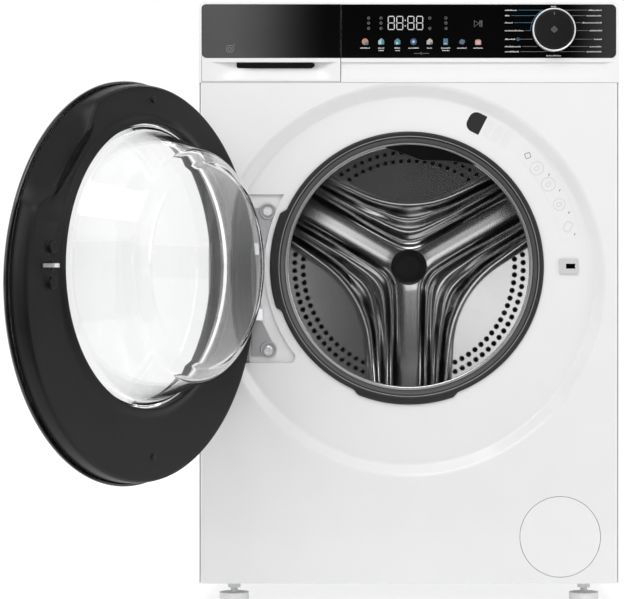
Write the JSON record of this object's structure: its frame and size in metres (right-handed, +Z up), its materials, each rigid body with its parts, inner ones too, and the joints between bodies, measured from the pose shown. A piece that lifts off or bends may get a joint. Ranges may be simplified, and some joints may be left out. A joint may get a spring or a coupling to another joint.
{
  "type": "front load washing machine",
  "caption": "Freestanding front-loading washing machine with a large glass porthole door, a touch control strip, a detergent drawer and a sprung tub with a spinning drum.",
  "frame": {"origin": "centre of the four levelling feet, on the floor", "axes": "+Z up, the front with the door faces -Y, +X to the right seen from the front"},
  "size_m": [0.8008, 1.0293, 0.85],
  "materials": {
    "white_enamel": "gloss enamel",
    "zinc_steel": "galvanised",
    "white_laminate": "white laminated board",
    "white_plastic": "satin",
    "panel_glass": "gloss black",
    "grey_plastic": "moulded",
    "hinge_steel": "satin",
    "screw_steel": "bright",
    "black_plastic": "moulded",
    "door_black": "satin black",
    "door_clear": "clear",
    "black_rubber": "matt",
    "knob_black": "satin with metal rim",
    "stainless": "brushed",
    "lifter_grey": "moulded",
    "cast_aluminium": "cast",
    "machined_steel": "machined",
    "motor_iron": "painted core",
    "concrete": "cast concrete",
    "foot_grey": "grey coated"
  },
  "bodies": {
    "cabinet": {"base_tray": "zinc_steel", "cabinet_screws": "screw_steel", "control_box": "grey_plastic", "damper_cylinders": "black_plastic", "dispenser_housing": "white_plastic", "door_gasket": "black_rubber", "door_lock": "black_plastic", "drain_hose": "black_rubber", "drain_pump": "black_plastic", "fascia": "white_plastic", "fascia_glass": "panel_glass", "fill_hose": "black_rubber", "front_panel": "white_enamel", "hinge_bracket": "hinge_steel", "inlet_valve": "grey_plastic", "left_side_panel": "white_enamel", "lock_strike_plate": "grey_plastic", "mains_inlet": "grey_plastic", "rear_panel": "zinc_steel", "rear_service_cover": "zinc_steel", "right_side_panel": "white_enamel", "sump_hose": "black_rubber", "top_crossbars": "zinc_steel", "top_panel": "white_laminate", "transit_plugs": "grey_plastic"},
    "tub": {"tub_rear": "grey_plastic", "tub_front": "grey_plastic", "front_counterweight": "concrete", "top_counterweight": "concrete", "heater": "machined_steel", "bearings": "machined_steel", "motor": "motor_iron", "suspension_springs": "machined_steel", "damper_rods": "machined_steel", "drive_belt": "black_rubber"},
    "drum": {"drum_shell": "stainless", "drum_back": "stainless", "drum_lifters": "lifter_grey", "drum_spider": "cast_aluminium", "drum_shaft": "machined_steel", "drum_pulley": "cast_aluminium"},
    "motor_rotor": {"motor_pulley": "machined_steel"},
    "door": {"door_outer_ring": "door_black", "door_pane": "door_clear", "door_inner_frame": "door_black", "door_glass": "door_clear", "door_hinge_arm": "hinge_steel", "door_buffers": "black_rubber", "door_plugs": "black_plastic"},
    "latch": {"latch_hook": "screw_steel"},
    "drawer": {"drawer_tray": "white_plastic", "drawer_front": "white_plastic", "drawer_glass": "panel_glass"},
    "knob": {"programme_knob": "knob_black"},
    "filter_flap": {"filter_cover": "white_plastic"},
    "filter": {"filter_cap": "black_plastic"},
    "foot_front_left": {"foot_front_left": "foot_grey"},
    "foot_front_right": {"foot_front_right": "foot_grey"},
    "foot_rear_left": {"foot_rear_left": "foot_grey"},
    "foot_rear_right": {"foot_rear_right": "foot_grey"}
  },
  "joints": [
    {"name": "tub_travel", "type": "slide", "parent": "cabinet", "child": "tub", "axis": [0, 0, 1], "range_m": [-0.01, 0.01], "stiffness_N_per_m": 40000, "springref_m": 0.01021, "deforming": ["door_gasket", "suspension_springs", "fill_hose", "sump_hose"]},
    {"name": "drum_spin", "type": "hinge", "parent": "tub", "child": "drum", "pos_m": [0, 0.1, 0.4755], "axis": [0, 1, 0], "continuous": true},
    {"name": "motor_spin", "type": "hinge", "parent": "tub", "child": "motor_rotor", "pos_m": [0.125, 0.25, 0.16], "axis": [0, 1, 0], "continuous": true},
    {"name": "door_swing", "type": "hinge", "parent": "cabinet", "child": "door", "pos_m": [-0.2395, -0.282, 0.452], "axis": [0, 0, 1], "range_deg": [0, 119]},
    {"name": "latch_pivot", "type": "hinge", "parent": "door", "child": "latch", "pos_m": [-0.46343, -0.69011, 0.4758], "axis": [0, 0, 1], "range_deg": [-3, 0], "stiffness_Nm_per_rad": 0.3, "springref_deg": 1.15},
    {"name": "drawer_slide", "type": "slide", "parent": "cabinet", "child": "drawer", "axis": [0, -1, 0], "range_m": [0, 0.22]},
    {"name": "knob_turn", "type": "hinge", "parent": "cabinet", "child": "knob", "pos_m": [0.2051, -0.27, 0.8099], "axis": [0, 1, 0], "continuous": true},
    {"name": "filter_cover_swing", "type": "hinge", "parent": "cabinet", "child": "filter_flap", "pos_m": [0.2143, -0.27, 0.041], "axis": [1, 0, 0], "range_deg": [0, 95]},
    {"name": "filter_turn", "type": "hinge", "parent": "cabinet", "child": "filter", "pos_m": [0.2143, -0.24, 0.0922], "axis": [0, 1, 0], "range_deg": [0, 90]},
    {"name": "foot_front_left_screw", "type": "slide", "parent": "cabinet", "child": "foot_front_left", "axis": [0, 0, -1], "range_m": [0, 0.012]},
    {"name": "foot_front_right_screw", "type": "slide", "parent": "cabinet", "child": "foot_front_right", "axis": [0, 0, -1], "range_m": [0, 0.012]},
    {"name": "foot_rear_left_screw", "type": "slide", "parent": "cabinet", "child": "foot_rear_left", "axis": [0, 0, -1], "range_m": [0, 0.012]},
    {"name": "foot_rear_right_screw", "type": "slide", "parent": "cabinet", "child": "foot_rear_right", "axis": [0, 0, -1], "range_m": [0, 0.012]}
  ],
  "couplings": [
    {"joint": "motor_spin", "follows": "drum_spin", "ratio": 7}
  ]
}
